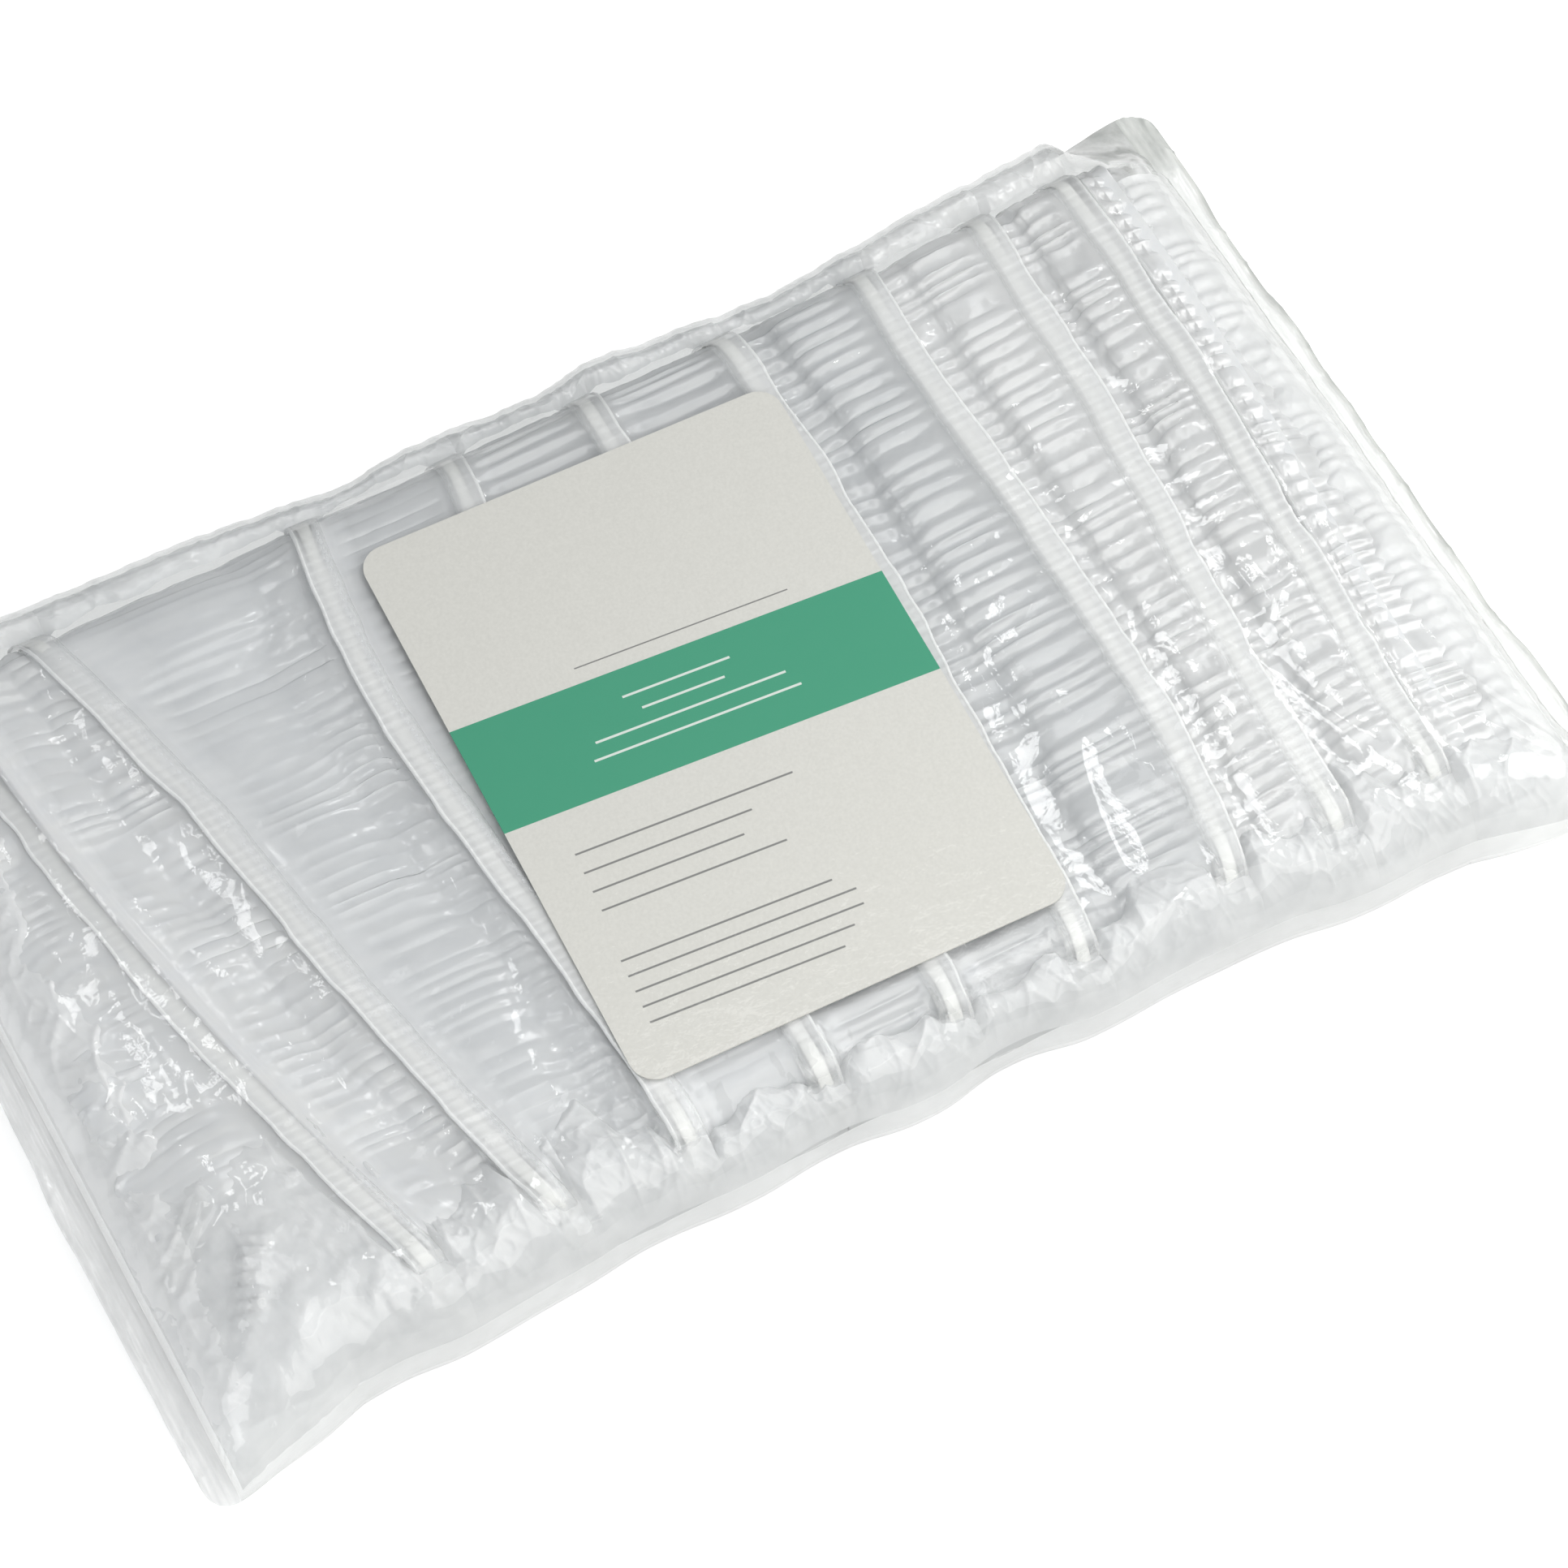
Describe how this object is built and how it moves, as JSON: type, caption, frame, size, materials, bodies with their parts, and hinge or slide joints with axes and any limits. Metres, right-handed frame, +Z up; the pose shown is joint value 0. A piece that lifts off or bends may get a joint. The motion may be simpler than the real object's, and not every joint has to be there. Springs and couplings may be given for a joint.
{
  "type": "shower cap pack",
  "caption": "Clear heat-sealed pillow bag filled with a row of gathered film shower caps with elastic hems, under a rounded insert card with a plain stripe.",
  "frame": {"origin": "middle of the bag's footprint, on the surface that the pack lies on", "axes": "+X along the bag towards its right seal, +Y along the caps towards the card's top edge, +Z up"},
  "size_m": [0.3566, 0.218, 0.0351],
  "materials": {
    "bag_film": "gloss",
    "cap_film": "gloss",
    "hem_film": "satin",
    "elastic": "matte",
    "card": "satin"
  },
  "bodies": {
    "root": {"bag_front_film": "bag_film", "bag_back_film": "bag_film", "bag_left_seal": "bag_film", "bag_right_seal": "bag_film", "insert_card": "card", "cap_01_film": "cap_film", "cap_01_hem": "hem_film", "cap_01_elastic": "elastic", "cap_02_film": "cap_film", "cap_02_hem": "hem_film", "cap_02_elastic": "elastic", "cap_03_film": "cap_film", "cap_03_hem": "hem_film", "cap_03_elastic": "elastic", "cap_04_film": "cap_film", "cap_04_hem": "hem_film", "cap_04_elastic": "elastic", "cap_05_film": "cap_film", "cap_05_hem": "hem_film", "cap_05_elastic": "elastic", "cap_06_film": "cap_film", "cap_06_hem": "hem_film", "cap_06_elastic": "elastic", "cap_07_film": "cap_film", "cap_07_hem": "hem_film", "cap_07_elastic": "elastic", "cap_08_film": "cap_film", "cap_08_hem": "hem_film", "cap_08_elastic": "elastic", "cap_09_film": "cap_film", "cap_09_hem": "hem_film", "cap_09_elastic": "elastic", "cap_10_film": "cap_film", "cap_10_hem": "hem_film", "cap_10_elastic": "elastic"}
  },
  "joints": []
}
